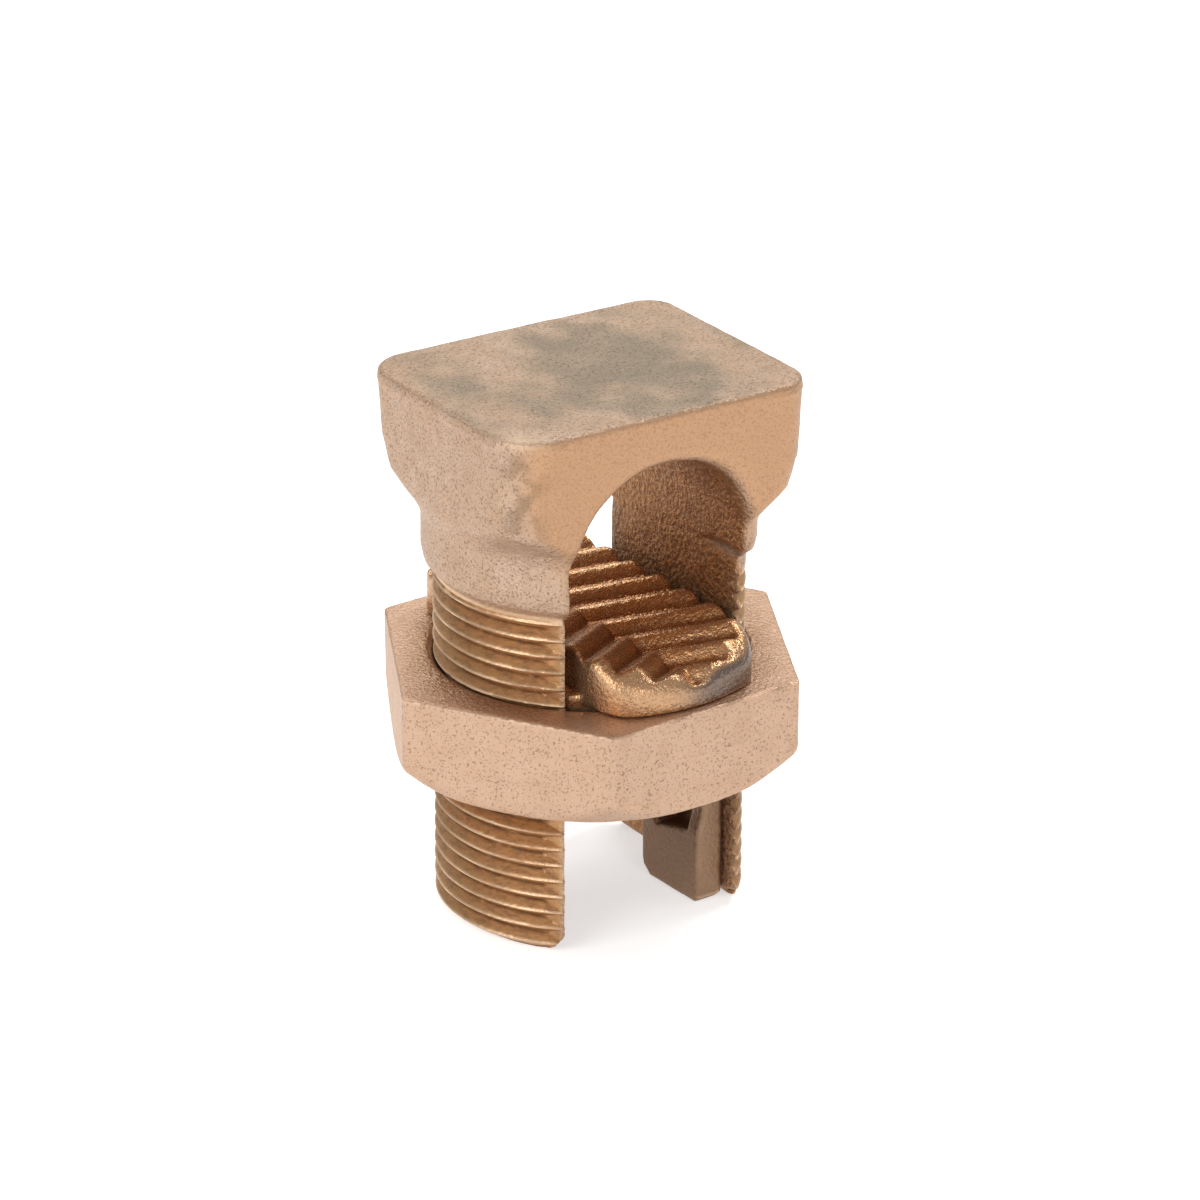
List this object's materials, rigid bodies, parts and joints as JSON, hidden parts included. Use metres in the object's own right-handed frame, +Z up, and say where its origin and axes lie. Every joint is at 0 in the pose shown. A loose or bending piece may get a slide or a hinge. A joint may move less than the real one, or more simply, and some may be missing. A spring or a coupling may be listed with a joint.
{
  "type": "split bolt connector",
  "caption": "Slotted cast bolt with a rectangular head, a hexagon nut and a ridged pressure bar that clamps stranded conductors in the slot.",
  "frame": {"origin": "on the bolt's axis, level with the ends of the two legs", "axes": "+Z up along the bolt towards its head, the slot runs along Y and the legs stand at -X and +X"},
  "size_m": [0.0554, 0.0496, 0.0688],
  "materials": {
    "cast_bronze": "sand cast, satin, machined thread",
    "nut_bronze": "fine sand cast, satin",
    "bar_bronze": "burnished cast, glossy ridges"
  },
  "bodies": {
    "bolt": {"bolt": "cast_bronze"},
    "pressure_bar": {"pressure_bar": "bar_bronze"},
    "hex_nut": {"hex_nut": "nut_bronze"}
  },
  "joints": [
    {"name": "bar_slide", "type": "slide", "parent": "bolt", "child": "pressure_bar", "axis": [0, 0, 1], "range_m": [-0.0191, 0.0106]},
    {"name": "nut_spin", "type": "hinge", "parent": "pressure_bar", "child": "hex_nut", "pos_m": [0, 0, 0.033], "axis": [0, 0, 1], "range_deg": [-3240, 1800]}
  ],
  "couplings": [
    {"joint": "bar_slide", "follows": "nut_spin", "m_per_rad": 0.00033693}
  ]
}
